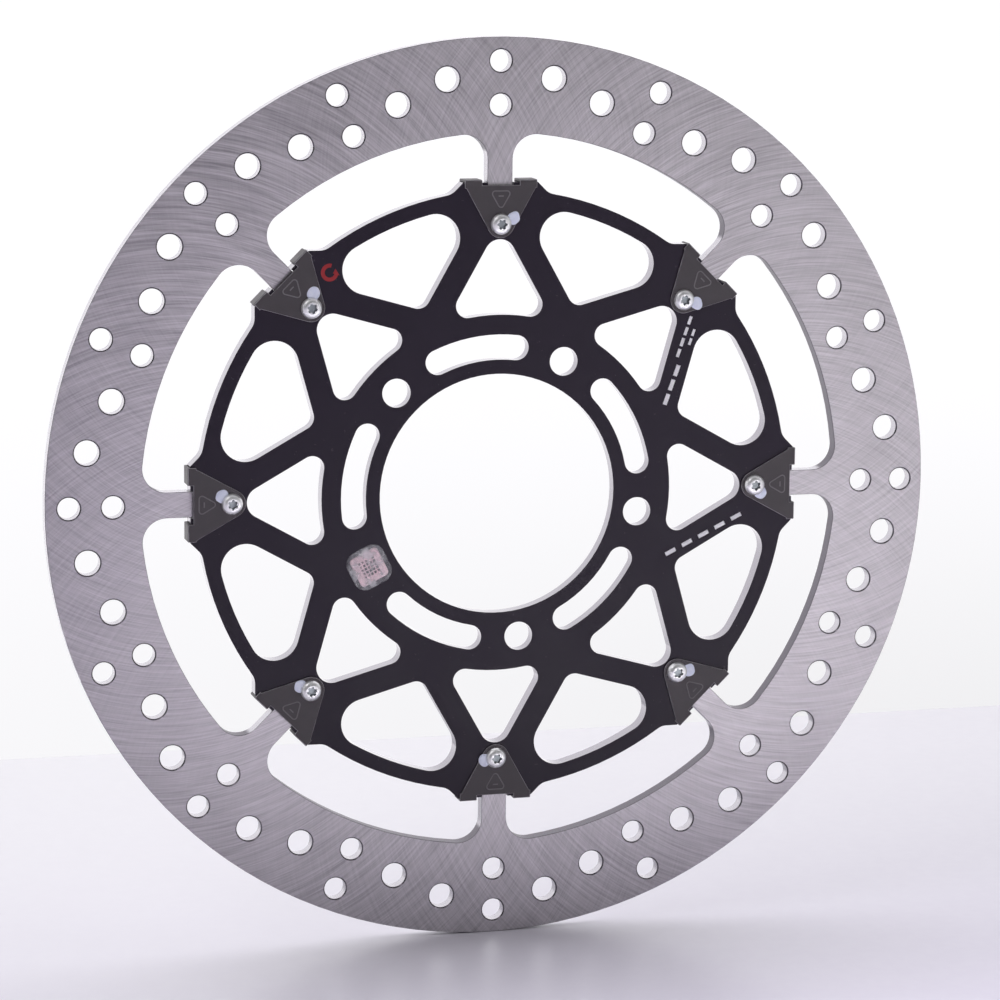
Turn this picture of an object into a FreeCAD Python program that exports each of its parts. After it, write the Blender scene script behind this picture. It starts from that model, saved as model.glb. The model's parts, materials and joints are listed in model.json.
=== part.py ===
import FreeCAD, Part
import math
import os

# Floating front brake disc for a motorcycle: a drilled steel braking band hung from a black
# aluminium carrier by eight T-shaped drive tabs, each held by a screwed sheet-metal clip.
#
# Everything is modelled flat, in millimetres: z = 0 is the face that seats on the wheel hub and
# +z points out of the wheel, towards the clip screws. A station is one drive tab, modelled on
# the +y axis and then turned to its place. The finished pieces are stood upright, so that the
# spin axis lies along Y, the clip screws face -Y and +Z is up.

Vector = FreeCAD.Vector
ORIGIN = Vector(0, 0, 0)
SPIN_AXIS = Vector(0, 0, 1)

# ---- driving dimensions: braking band -------------------------------------------------------
BAND_OUTER_R = 165.0
BAND_HEIGHT = 34.0          # radial height of the friction ring
BAND_THICKNESS = 5.5
BAND_EDGE_BREAK = 0.15      # chamfer along the outline, on both friction faces
DRILL_EDGE = 8.5            # outer edge of the band to the outermost row of drillings
DRILL_ROWS = 4
DRILL_STEP = 5.25           # radial pitch of the rows
SMALL_DRILL_R = 4.0
LARGE_DRILL_R = 4.5
DRILL_SPREAD = 7.5          # degrees from a radial pair to the large drilling on either side
DRILL_SINK = 0.45           # 45 degree countersink at both ends of a drilling

# ---- driving dimensions: drive tabs ---------------------------------------------------------
STATIONS = 8
TAB_WIDTH = 9.25
TAB_ROOT_R = 8.75           # fillet where a tab grows out of the band
HEAD_WIDTH = 17.6
HEAD_STRAIGHT = 2.4         # length of the driving flanks
HEAD_LENGTH = 5.9
HEAD_TOE_WIDTH = 12.4
HEAD_CORNER_R = 0.8
NECK_SINK = 8.5             # length of a tab's neck inside the ring that it grows from
DRIVE_CLEARANCE = 0.3       # all round a T-head in its slot
SPRING_GAP = 1.0            # from a T-head to the clip in front of it, filled by the leaf spring

# ---- driving dimensions: carrier ------------------------------------------------------------
HUB_BORE_R = 44.0
BOLT_LAND = 9.75            # bore wall to bolt circle
BOLT_COUNT = 5
BOLT_HOLE_R = 5.25
FIRST_BOLT = 63.0           # degrees from +x
SLOT_WIDTH = 9.15
SLOT_HALF_ANGLE = 16.0      # from the middle of a slot to the centre of its round end
HUB_FACE_LAND = 8.25        # bolt circle to the edge of the hub seat
HUB_RING_LAND = 11.75       # bolt circle to the inner edge of the small windows
FLANGE_THICKNESS = 5.0
RIM_GAP = 20.5              # open ring between the carrier rim and the band
RIM_WIDTH = 5.3
EAR_FOOT = 2.7              # depth that an ear's flanks run on inside the rim circle
SPOKE_WIDTH = 9.05
SPOKE_FOOT = 18.3           # degrees from a station's radius to its spokes, at the hub ring
SMALL_WINDOW_TIP_R = 5.8
SMALL_WINDOW_FOOT_R = 4.4
LARGE_WINDOW_TIP_R = 4.5
LARGE_WINDOW_CORNER_R = 9.0
EAR_RISE = 2.7              # ear top above the rim circle
EAR_HALF_WIDTH = 13.9
EAR_BLEND_R = 6.0
EAR_PAD = 0.5               # raised pad behind each ear, machined to the band's thickness
LIP = 4.0                   # metal outside a T-head's shoulders
SCREW_LAND = 4.4            # inner end of a T-slot to the screw
TIP_LAND = 5.55             # screw to the tip of the small window
CARRIER_EDGE_BREAK = 0.2

# ---- driving dimensions: clips, springs and fasteners ---------------------------------------
SHEET = 0.8                 # clip and backing plate
CLIP_NOSE_R = 5.0
CLIP_SIDE_ANGLE = 29.0
CLIP_SEAT_CLEARANCE = 0.2   # between a clip's webs and the top of the ear
WEB_INNER = 7.0             # half distance between the two webs of a clip
WEB_OUTER = 13.4
CLIP_RECESS = 2.0           # depth of the open edge between the webs, under the outer face
HOOK_REACH = 3.2
HOOK_GAP = 0.4              # from a hook's end to the backing plate
BEND_R = 0.6                # outside radius of the folds
SHEET_EDGE_BREAK = 0.15
SPRING_SHEET = 0.3
SPRING_WIDTH = 3.0
SPRING_HALF_LENGTH = 7.3
SPRING_INSET = 0.5          # from the T-head's shoulders to the spring
SCREW_R = 1.95              # M4, over the thread
SCREW_CLEARANCE = 0.2       # all round a screw in the holes that it passes through
THREAD_CLEARANCE = 0.05     # all round a screw in its nut
SCREW_STAND_OUT = 0.2       # screw tip past the nut
SCREW_TIP_CHAMFER = 0.4
HEAD_R = 3.8                # button head
HEAD_HEIGHT = 2.2
HEAD_RIM = 0.5              # straight edge under the dome
HEAD_FLAT_R = 2.1           # flat top round the socket
HEAD_BULGE = 0.4            # dome above the straight line from rim to flat
SOCKET_R = 1.4
SOCKET_LOBES = 6
SOCKET_LOBE_R = 0.5
SOCKET_DEPTH = 1.3
WASHER_LAND = 1.85          # width of a washer's ring
WASHER_THICKNESS = 0.5
NUT_SIDES = 6
NUT_WALL = 1.5              # from the nut's bore to a flat
NUT_HEIGHT = 3.2

# ---- sizes that follow ----------------------------------------------------------------------
PITCH = 360.0 / STATIONS
BAND_INNER_R = BAND_OUTER_R - BAND_HEIGHT
RIM_R = BAND_INNER_R - RIM_GAP
EAR_Y = RIM_R + EAR_RISE
SHOULDER_Y = EAR_Y - LIP - DRIVE_CLEARANCE
HEAD_TOE_Y = SHOULDER_Y - HEAD_LENGTH
SCREW_Y = HEAD_TOE_Y - DRIVE_CLEARANCE - SCREW_LAND
BOLT_R = HUB_BORE_R + BOLT_LAND
HUB_FACE_R = BOLT_R + HUB_FACE_LAND
HUB_RING_R = BOLT_R + HUB_RING_LAND

FRONT_Z = FLANGE_THICKNESS
BAND_FRONT_Z = FRONT_Z - SPRING_GAP
BAND_REAR_Z = BAND_FRONT_Z - BAND_THICKNESS
ARM_REAR_Z = BAND_REAR_Z + EAR_PAD
CLIP_FRONT_Z = FRONT_Z + SHEET
PLATE_REAR_Z = BAND_REAR_Z - SHEET
WASHER_REAR_Z = PLATE_REAR_Z - WASHER_THICKNESS

WEB_INNER_Y = EAR_Y + CLIP_SEAT_CLEARANCE
WEB_OUTER_Y = WEB_INNER_Y + SHEET
HOOK_END_Y = WEB_OUTER_Y - HOOK_REACH
PLATE_EDGE_Y = HOOK_END_Y - HOOK_GAP

SCREW_HOLE_R = SCREW_R + SCREW_CLEARANCE
NUT_BORE_R = SCREW_R + THREAD_CLEARANCE
NUT_FLAT_R = NUT_BORE_R + NUT_WALL
WASHER_R = SCREW_HOLE_R + WASHER_LAND
NUT_REAR_Z = WASHER_REAR_Z - NUT_HEIGHT
SCREW_TIP_Z = NUT_REAR_Z - SCREW_STAND_OUT

# ---- modelling allowances -------------------------------------------------------------------
OVERCUT = 1.0               # a cutting tool past the faces that it cuts
TOLERANCE = 1e-4            # two heights closer than this are the same
PLACE_TOLERANCE = 0.02      # and two places
APEX_WIDTH = 1.0            # a window's corner nearer the middle than this is its apex


# ---- small geometry helpers -----------------------------------------------------------------
def prism(points, z0, z1):
    """Straight block over a closed outline of (x, y) points."""
    outline = [Vector(x, y, z0) for x, y in points]
    face = Part.Face(Part.makePolygon(outline + [outline[0]]))
    return face.extrude(Vector(0, 0, z1 - z0))


def cylinder(radius, z0, z1, x=0.0, y=0.0):
    return Part.makeCylinder(radius, z1 - z0, Vector(x, y, z0))


def box(x0, x1, y0, y1, z0, z1):
    return prism([(x0, y0), (x1, y0), (x1, y1), (x0, y1)], z0, z1)


def turned(shape, degrees):
    copy = shape.copy()
    copy.rotate(ORIGIN, SPIN_AXIS, degrees)
    return copy


def mirrored(points):
    """Points on the +x side, followed by their mirror images in reverse order."""
    return points + [(-x, y) for x, y in reversed(points)]


def around(shape, count, first, pitch):
    """Copies of a shape modelled on +y, turned so that the first lies at an angle from +x."""
    return [turned(shape, first - 90.0 + i * pitch) for i in range(count)]


def station_angles():
    """Angles of the stations from +x: the top one first, then clockwise seen from the front."""
    return [90.0 - i * PITCH for i in range(STATIONS)]


def at_stations(shape):
    return [turned(shape, angle - 90.0) for angle in station_angles()]


def is_upright(edge):
    start = edge.Vertexes[0].Point
    end = edge.Vertexes[-1].Point
    level = abs(start.z - end.z) < TOLERANCE
    return math.hypot(start.x - end.x, start.y - end.y) < TOLERANCE and not level


def upright_edges(solid, places):
    """The edges along z that stand at any of the (x, y) places."""
    found = []
    for edge in filter(is_upright, solid.Edges):
        point = edge.Vertexes[0].Point
        if any(math.hypot(point.x - x, point.y - y) < PLACE_TOLERANCE for x, y in places):
            found.append(edge)
    return found


def rounded(solid, places, radius):
    return solid.makeFillet(radius, upright_edges(solid, places))


def edges_at(solid, z):
    """The edges that lie flat at height z."""
    found = []
    for edge in solid.Edges:
        reach = edge.BoundBox
        if abs(reach.ZMin - z) < TOLERANCE and abs(reach.ZMax - z) < TOLERANCE:
            found.append(edge)
    return found


def station_places(places):
    """The (x, y) places of one station repeated at every station."""
    spots = []
    for angle in station_angles():
        turn = math.radians(angle - 90.0)
        for x, y in places:
            spots.append((x * math.cos(turn) - y * math.sin(turn), x * math.sin(turn) + y * math.cos(turn)))
    return spots


# ---- drive tab and its slot -----------------------------------------------------------------
def head_outline(grow):
    """T-head seen from the front, every side moved outwards by grow: shoulder, knee, toe."""
    taper = (HEAD_WIDTH - HEAD_TOE_WIDTH) / 2.0 / (HEAD_LENGTH - HEAD_STRAIGHT)
    side_shift = grow * math.hypot(1.0, taper)
    half = HEAD_WIDTH / 2.0
    knee_y = SHOULDER_Y - HEAD_STRAIGHT - (side_shift - grow) / taper
    toe_y = HEAD_TOE_Y - grow
    toe_half = half + side_shift - (SHOULDER_Y - HEAD_STRAIGHT - toe_y) * taper
    return [(half + grow, SHOULDER_Y + grow), (half + grow, knee_y), (toe_half, toe_y)]


def tab_solid(grow, outer_y, z0, z1):
    """Neck and T-head together, with the neck running out to outer_y."""
    neck = TAB_WIDTH / 2.0 + grow
    head = head_outline(grow)
    shoulder_y = head[0][1]
    outline = mirrored([(neck, outer_y), (neck, shoulder_y)] + head)
    solid = prism(outline, z0, z1)
    solid = rounded(solid, mirrored([head[0]]) + mirrored([head[2]]), HEAD_CORNER_R + grow)
    return rounded(solid, mirrored([(neck, shoulder_y)]), HEAD_CORNER_R)


# ---- braking band ---------------------------------------------------------------------------
def drill_rows():
    """Radii of the rows of drillings, outermost first."""
    return [BAND_OUTER_R - DRILL_EDGE - i * DRILL_STEP for i in range(DRILL_ROWS)]


def drilling(radius, row, degrees):
    """Hole through the band, countersunk on both faces."""
    depth = DRILL_SINK + OVERCUT
    hole = cylinder(radius, BAND_REAR_Z, BAND_FRONT_Z)
    front = Part.makeCone(radius, radius + depth, depth, Vector(0, 0, BAND_FRONT_Z - DRILL_SINK))
    rear = Part.makeCone(radius + depth, radius, depth, Vector(0, 0, BAND_REAR_Z - OVERCUT))
    tool = hole.fuse([front, rear]).removeSplitter()
    x = row * math.cos(math.radians(degrees))
    y = row * math.sin(math.radians(degrees))
    tool.translate(Vector(x, y, 0))
    return tool


def drillings():
    """Radial pairs of small holes on and midway between the tabs, with a large one each side."""
    outer, upper, lower, inner = drill_rows()
    tools = []
    for i in range(2 * STATIONS):
        angle = i * PITCH / 2.0
        side_row = upper if i % 2 == 0 else lower
        tools.append(drilling(SMALL_DRILL_R, outer, angle))
        tools.append(drilling(SMALL_DRILL_R, inner, angle))
        tools.append(drilling(LARGE_DRILL_R, side_row, angle - DRILL_SPREAD))
        tools.append(drilling(LARGE_DRILL_R, side_row, angle + DRILL_SPREAD))
    return tools


def braking_band():
    z0, z1 = BAND_REAR_Z, BAND_FRONT_Z
    ring = cylinder(BAND_OUTER_R, z0, z1).cut(cylinder(BAND_INNER_R, z0, z1))
    tab = tab_solid(0.0, BAND_INNER_R + NECK_SINK, z0, z1)
    band = ring.fuse(at_stations(tab)).removeSplitter()
    neck = TAB_WIDTH / 2.0
    root = (neck, math.sqrt(BAND_INNER_R ** 2 - neck ** 2))
    band = rounded(band, station_places(mirrored([root])), TAB_ROOT_R)
    band = band.makeChamfer(BAND_EDGE_BREAK, edges_at(band, z0) + edges_at(band, z1))
    return band.cut(drillings())


# ---- carrier --------------------------------------------------------------------------------
def spoke_lean():
    """Angle between a spoke and its station's radius, from the hub ring to the small window's tip."""
    foot = math.radians(SPOKE_FOOT)
    across = HUB_RING_R * math.sin(foot)
    along = SCREW_Y - TIP_LAND - SMALL_WINDOW_TIP_R - HUB_RING_R * math.cos(foot)
    return math.atan2(across, along) - math.asin(SMALL_WINDOW_TIP_R / math.hypot(across, along))


def small_window_reach():
    """Distance from the spin axis to the straight sides of the small windows."""
    tip_centre_y = SCREW_Y - TIP_LAND - SMALL_WINDOW_TIP_R
    return tip_centre_y * math.sin(spoke_lean()) + SMALL_WINDOW_TIP_R


def small_window(z0, z1):
    """Triangle under a station: two sides along the spokes and an arc round the hub ring."""
    lean = spoke_lean()
    apex_y = small_window_reach() / math.sin(lean)
    foot_y = HUB_RING_R / 2.0
    foot_x = (apex_y - foot_y) * math.tan(lean)
    window = prism([(0.0, apex_y), (-foot_x, foot_y), (foot_x, foot_y)], z0, z1)
    window = window.cut(cylinder(HUB_RING_R, z0, z1))
    feet = [e.Vertexes[0].Point for e in filter(is_upright, window.Edges)]
    feet = [(p.x, p.y) for p in feet if abs(p.x) > APEX_WIDTH]
    window = rounded(window, feet, SMALL_WINDOW_FOOT_R)
    return rounded(window, [(0.0, apex_y)], SMALL_WINDOW_TIP_R)


def large_window(z0, z1):
    """Window between two stations: two sides along the spokes and an arc inside the rim."""
    lean = spoke_lean() + math.radians(PITCH / 2.0)
    apex_y = (small_window_reach() + SPOKE_WIDTH) / math.sin(lean)
    far_y = RIM_R
    far_x = (far_y - apex_y) * math.tan(lean)
    wedge = prism([(0.0, apex_y), (far_x, far_y), (-far_x, far_y)], z0, z1)
    window = wedge.common(cylinder(RIM_R - RIM_WIDTH, z0, z1))
    corners = [e.Vertexes[0].Point for e in filter(is_upright, window.Edges)]
    corners = [(p.x, p.y) for p in corners if abs(p.x) > APEX_WIDTH]
    window = rounded(window, corners, LARGE_WINDOW_CORNER_R)
    return rounded(window, [(0.0, apex_y)], LARGE_WINDOW_TIP_R)


def arc_slot(z0, z1):
    """Curved slot on the bolt circle with full round ends, modelled on +y."""
    half = math.radians(SLOT_HALF_ANGLE)
    inner = BOLT_R - SLOT_WIDTH / 2.0
    outer = BOLT_R + SLOT_WIDTH / 2.0
    tip = half + SLOT_WIDTH / 2.0 / BOLT_R

    def spot(radius, angle):
        return Vector(radius * math.sin(angle), radius * math.cos(angle), z0)

    edges = [
        Part.Arc(spot(outer, -half), spot(outer, 0.0), spot(outer, half)).toShape(),
        Part.Arc(spot(outer, half), spot(BOLT_R, tip), spot(inner, half)).toShape(),
        Part.Arc(spot(inner, half), spot(inner, 0.0), spot(inner, -half)).toShape(),
        Part.Arc(spot(inner, -half), spot(BOLT_R, -tip), spot(outer, -half)).toShape(),
    ]
    return Part.Face(Part.Wire(edges)).extrude(Vector(0, 0, z1 - z0))


def ear(z0, z1):
    """Flat-topped ear with 45 degree flanks, reaching down inside the rim."""
    flank = EAR_RISE + EAR_FOOT
    root_y = RIM_R - RIM_WIDTH / 2.0
    outline = [(EAR_HALF_WIDTH, EAR_Y), (EAR_HALF_WIDTH + flank, EAR_Y - flank)]
    return prism(mirrored(outline + [(EAR_HALF_WIDTH, root_y - flank)]), z0, z1)


def ear_roots():
    """Places where the flanks of one ear run into the rim circle."""
    span = EAR_HALF_WIDTH + EAR_Y
    x = (span - math.sqrt(2.0 * RIM_R ** 2 - span ** 2)) / 2.0
    return mirrored([(x, span - x)])


def ear_pad():
    """Raised pad behind an ear, with the outline of the clip's sides."""
    pad = prism(nose_outline(EAR_Y, EAR_HALF_WIDTH), BAND_REAR_Z, ARM_REAR_Z)
    return pad.fuse(cylinder(CLIP_NOSE_R, BAND_REAR_Z, ARM_REAR_Z, 0.0, SCREW_Y)).removeSplitter()


def carrier_blank():
    plate = cylinder(RIM_R, ARM_REAR_Z, FRONT_Z).fuse(at_stations(ear(ARM_REAR_Z, FRONT_Z)))
    plate = rounded(plate.removeSplitter(), station_places(ear_roots()), EAR_BLEND_R)
    hollow = cylinder(HUB_FACE_R, ARM_REAR_Z, FRONT_Z)
    hub = cylinder(HUB_FACE_R, 0.0, FRONT_Z)
    return plate.cut(hollow).fuse([hub] + at_stations(ear_pad())).removeSplitter()


def carrier_tools():
    """Everything that is cut out of the carrier."""
    z0 = min(0.0, BAND_REAR_Z) - OVERCUT
    z1 = FRONT_Z + OVERCUT
    slot_pitch = 360.0 / BOLT_COUNT
    bolt = cylinder(BOLT_HOLE_R, z0, z1, 0.0, BOLT_R)
    tools = [cylinder(HUB_BORE_R, z0, z1)]
    tools += around(bolt, BOLT_COUNT, FIRST_BOLT, slot_pitch)
    tools += around(arc_slot(z0, z1), BOLT_COUNT, FIRST_BOLT + slot_pitch / 2.0, slot_pitch)
    tools += at_stations(small_window(z0, z1))
    tools += around(large_window(z0, z1), STATIONS, PITCH / 2.0, PITCH)
    tools += at_stations(tab_solid(DRIVE_CLEARANCE, EAR_Y + LIP, z0, z1))
    tools += at_stations(cylinder(SCREW_HOLE_R, z0, z1, 0.0, SCREW_Y))
    return tools


def carrier():
    body = carrier_blank().cut(carrier_tools())
    return body.makeChamfer(CARRIER_EDGE_BREAK, edges_at(body, FRONT_Z))


# ---- clips and backing plates ---------------------------------------------------------------
def nose_outline(edge_y, limit=None):
    """Sides of a clip, from the tangent points on its nose out to a straight edge at edge_y."""
    lean = math.radians(CLIP_SIDE_ANGLE)
    nose_x = CLIP_NOSE_R * math.cos(lean)
    nose_y = SCREW_Y - CLIP_NOSE_R * math.sin(lean)
    edge_x = nose_x + (edge_y - nose_y) * math.tan(lean)
    if limit is None or edge_x <= limit:
        return mirrored([(nose_x, nose_y), (edge_x, edge_y)])
    turn_y = nose_y + (limit - nose_x) / math.tan(lean)
    return mirrored([(nose_x, nose_y), (limit, turn_y), (limit, edge_y)])


def nosed_plate(edge_y, z0, z1):
    """Triangular sheet with a round nose about the screw and rounded outer corners."""
    plate = prism(nose_outline(edge_y), z0, z1)
    plate = plate.fuse(cylinder(CLIP_NOSE_R, z0, z1, 0.0, SCREW_Y)).removeSplitter()
    plate = rounded(plate, nose_outline(edge_y)[1:3], SHEET)
    return plate.cut(cylinder(SCREW_HOLE_R, z0, z1, 0.0, SCREW_Y))


def clip_web():
    """One folded web with the hook behind the ear, on the +x side."""
    web = box(WEB_INNER, WEB_OUTER, WEB_INNER_Y, WEB_OUTER_Y, PLATE_REAR_Z, CLIP_FRONT_Z)
    fold = box(WEB_INNER, WEB_OUTER, EAR_Y - CLIP_RECESS, WEB_OUTER_Y, FRONT_Z, CLIP_FRONT_Z)
    hook = box(WEB_INNER, WEB_OUTER, HOOK_END_Y, WEB_OUTER_Y, PLATE_REAR_Z, BAND_REAR_Z)
    return web.fuse([fold, hook]).removeSplitter()


def fold_edges(solid):
    """Outside edges of the folds, along x at the outer face of the webs."""
    found = []
    for edge in solid.Edges:
        reach = edge.BoundBox
        flat = reach.ZMax - reach.ZMin < TOLERANCE and reach.YMax - reach.YMin < TOLERANCE
        outermost = abs(reach.YMax - WEB_OUTER_Y) < TOLERANCE
        folded = min(abs(reach.ZMin - CLIP_FRONT_Z), abs(reach.ZMin - PLATE_REAR_Z)) < TOLERANCE
        if flat and outermost and folded:
            found.append(edge)
    return found


def retaining_clip():
    web = clip_web()
    opposite = web.mirror(ORIGIN, Vector(1, 0, 0))
    clip = nosed_plate(EAR_Y, FRONT_Z, CLIP_FRONT_Z).fuse([web, opposite]).removeSplitter()
    recess = box(-WEB_INNER, WEB_INNER, WEB_OUTER_Y - CLIP_RECESS, WEB_OUTER_Y, FRONT_Z, CLIP_FRONT_Z)
    clip = clip.cut(recess)
    clip = clip.makeFillet(BEND_R, fold_edges(clip))
    return clip.makeChamfer(SHEET_EDGE_BREAK, edges_at(clip, CLIP_FRONT_Z))


def backing_plate():
    plate = nosed_plate(PLATE_EDGE_Y, PLATE_REAR_Z, BAND_REAR_Z)
    return plate.makeChamfer(SHEET_EDGE_BREAK, edges_at(plate, PLATE_REAR_Z))


# ---- leaf spring ----------------------------------------------------------------------------
def antirattle_spring():
    """Bowed leaf: its ends bear on the T-head and its crown on the clip."""
    rise = SPRING_GAP - SPRING_SHEET
    y0 = SHOULDER_Y - SPRING_INSET - SPRING_WIDTH
    half = SPRING_HALF_LENGTH

    def bow(z, turn):
        ends = [Vector(-half * turn, y0, z), Vector(half * turn, y0, z)]
        return Part.Arc(ends[0], Vector(0.0, y0, z + rise), ends[1]).toShape()

    foot = Vector(half, y0, BAND_FRONT_Z)
    lift = Vector(0, 0, SPRING_SHEET)
    other = Vector(-half, y0, BAND_FRONT_Z)
    edges = [bow(BAND_FRONT_Z, 1), Part.makeLine(foot, foot + lift)]
    edges += [bow(BAND_FRONT_Z + SPRING_SHEET, -1), Part.makeLine(other + lift, other)]
    return Part.Face(Part.Wire(edges)).extrude(Vector(0, SPRING_WIDTH, 0))


# ---- fasteners ------------------------------------------------------------------------------
def button_head():
    """Domed head, turned from a section through the screw axis."""
    z0 = CLIP_FRONT_Z
    top = z0 + HEAD_HEIGHT
    rim = Vector(HEAD_R, 0, z0 + HEAD_RIM)
    flat = Vector(HEAD_FLAT_R, 0, top)
    chord = flat - rim
    crown = (rim + flat) * 0.5 + Vector(chord.z, 0, -chord.x).normalize() * HEAD_BULGE
    edges = [
        Part.makeLine(Vector(0, 0, z0), Vector(HEAD_R, 0, z0)),
        Part.makeLine(Vector(HEAD_R, 0, z0), rim),
        Part.Arc(rim, crown, flat).toShape(),
        Part.makeLine(flat, Vector(0, 0, top)),
        Part.makeLine(Vector(0, 0, top), Vector(0, 0, z0)),
    ]
    return Part.Face(Part.Wire(edges)).revolve(ORIGIN, SPIN_AXIS, 360)


def socket():
    """Lobed driver recess."""
    z1 = CLIP_FRONT_Z + HEAD_HEIGHT
    z0 = z1 - SOCKET_DEPTH
    core = cylinder(SOCKET_R, z0, z1)
    lobe = cylinder(SOCKET_LOBE_R, z0, z1, 0.0, SOCKET_R)
    return core.fuse(around(lobe, SOCKET_LOBES, 0.0, 360.0 / SOCKET_LOBES)).removeSplitter()


def clip_screw():
    shank = cylinder(SCREW_R, SCREW_TIP_Z, CLIP_FRONT_Z)
    shank = shank.makeChamfer(SCREW_TIP_CHAMFER, edges_at(shank, SCREW_TIP_Z))
    screw = button_head().fuse(shank).cut(socket())
    screw.translate(Vector(0, SCREW_Y, 0))
    return screw


def clip_washer():
    z0, z1 = WASHER_REAR_Z, PLATE_REAR_Z
    washer = cylinder(WASHER_R, z0, z1).cut(cylinder(SCREW_HOLE_R, z0, z1))
    washer.translate(Vector(0, SCREW_Y, 0))
    return washer


def clip_nut():
    """Hexagon nut with its corners turned off on both sides."""
    z0, z1 = NUT_REAR_Z, WASHER_REAR_Z
    corner_r = NUT_FLAT_R / math.cos(math.pi / NUT_SIDES)
    corners = [2.0 * math.pi * i / NUT_SIDES for i in range(NUT_SIDES)]
    nut = prism([(corner_r * math.cos(a), corner_r * math.sin(a)) for a in corners], z0, z1)
    barrel = cylinder(corner_r, z0, z1)
    barrel = barrel.makeChamfer(corner_r - NUT_FLAT_R, edges_at(barrel, z0) + edges_at(barrel, z1))
    nut = nut.common(barrel).cut(cylinder(NUT_BORE_R, z0, z1))
    nut.translate(Vector(0, SCREW_Y, 0))
    return nut


# ---- writing the nodes ----------------------------------------------------------------------
def save(name, shape):
    upright = shape.copy()
    upright.rotate(ORIGIN, Vector(1, 0, 0), 90)
    if not upright.isValid():
        raise ValueError("invalid shape: " + name)
    upright.exportStep("parts/" + name + ".step")


def save_each(name, shape):
    """One numbered node for each station."""
    for number, piece in enumerate(at_stations(shape), start=1):
        save(name + "_" + str(number), piece)


def save_group(name, shape):
    """One node that holds the same fastener at every station."""
    save(name, Part.makeCompound(at_stations(shape)))


def main():
    os.makedirs("parts", exist_ok=True)
    save("braking_band", braking_band())
    save("carrier", carrier())
    save_each("retaining_clip", retaining_clip())
    save_each("backing_plate", backing_plate())
    save_each("antirattle_spring", antirattle_spring())
    save_group("clip_screws", clip_screw())
    save_group("clip_washers", clip_washer())
    save_group("clip_nuts", clip_nut())


main()
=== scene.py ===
import json
import math

import bmesh
import bpy
from mathutils import Matrix, Vector, noise


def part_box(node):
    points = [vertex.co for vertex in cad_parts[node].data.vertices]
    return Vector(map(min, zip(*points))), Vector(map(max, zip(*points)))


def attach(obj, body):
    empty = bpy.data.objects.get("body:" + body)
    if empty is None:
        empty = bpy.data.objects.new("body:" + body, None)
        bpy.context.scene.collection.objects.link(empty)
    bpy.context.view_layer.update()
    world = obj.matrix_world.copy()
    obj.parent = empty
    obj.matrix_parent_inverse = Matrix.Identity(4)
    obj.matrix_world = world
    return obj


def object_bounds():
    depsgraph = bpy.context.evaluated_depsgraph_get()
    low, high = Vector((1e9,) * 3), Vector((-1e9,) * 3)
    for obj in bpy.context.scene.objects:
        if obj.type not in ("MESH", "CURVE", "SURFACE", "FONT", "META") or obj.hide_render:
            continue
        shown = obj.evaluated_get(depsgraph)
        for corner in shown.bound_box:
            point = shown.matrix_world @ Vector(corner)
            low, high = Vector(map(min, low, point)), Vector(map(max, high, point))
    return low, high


# Looks of a floating front brake disc. The spin axis is Y, the clip screws face -Y and +Z is up.
# A station is one drive tab with its clip; station 1 is at the top and the rest follow clockwise
# as seen from the front. Pieces at a station are made flat, with +x to the right, +y pointing
# away from the spin axis and +z out of the front face, and then carried to their place.

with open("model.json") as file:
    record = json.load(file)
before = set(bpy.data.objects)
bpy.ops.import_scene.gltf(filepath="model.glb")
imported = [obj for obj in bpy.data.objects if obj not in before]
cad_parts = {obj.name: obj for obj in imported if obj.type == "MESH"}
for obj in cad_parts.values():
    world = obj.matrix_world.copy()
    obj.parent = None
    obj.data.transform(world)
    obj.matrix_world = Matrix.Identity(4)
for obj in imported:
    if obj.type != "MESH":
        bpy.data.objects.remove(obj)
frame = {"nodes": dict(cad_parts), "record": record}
CAD_LOW, CAD_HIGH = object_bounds()
NODES = frame["nodes"]
MOUNTS = {mount["name"]: mount for mount in frame["record"]["mounts"]}
MM = 0.001

# ---- places read from the frame -------------------------------------------------------------
CARRIER_BODY = "carrier_assembly"
CARRIER_FACE_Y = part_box("carrier")[0].y
CLIP_FACE_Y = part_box("retaining_clip_1")[0].y
BAND_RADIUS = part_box("braking_band")[1].z
HEAD_TOP_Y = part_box("clip_screws")[0].y
WASHER_RADIUS = 4.0 * MM    # taken off the washers' outermost reach, to get to the screws' circle
SCREW_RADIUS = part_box("clip_washers")[1].z - WASHER_RADIUS
BOLT_RADIUS = MOUNTS["hub_bolts"]["dims"]["pcd_mm"] / 2.0 * MM
STATIONS = 8
PITCH = 360.0 / STATIONS

# ---- camera ---------------------------------------------------------------------------------
CAMERA_PLACE = Vector((-0.3521, -1.2781, 0.2275))
CAMERA_AIM = Vector((0.0009, -0.005, -0.0023))
CAMERA_ROLL = 0.58          # degrees
CAMERA_LENS = 132.8         # millimetres
SENSOR_WIDTH = 36.0         # millimetres
CAMERA_NEAR = 0.05          # metres, like every length below without a unit
CAMERA_FAR = 20.0


def make_camera():
    data = bpy.data.cameras.new("camera")
    data.lens = CAMERA_LENS
    data.sensor_width = SENSOR_WIDTH
    data.clip_start = CAMERA_NEAR
    data.clip_end = CAMERA_FAR
    camera = bpy.data.objects.new("camera", data)
    bpy.context.scene.collection.objects.link(camera)
    look = (CAMERA_AIM - CAMERA_PLACE).to_track_quat("-Z", "Y").to_matrix().to_4x4()
    roll = Matrix.Rotation(math.radians(CAMERA_ROLL), 4, "Z")
    camera.matrix_world = Matrix.Translation(CAMERA_PLACE) @ look @ roll
    bpy.context.scene.camera = camera


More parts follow.
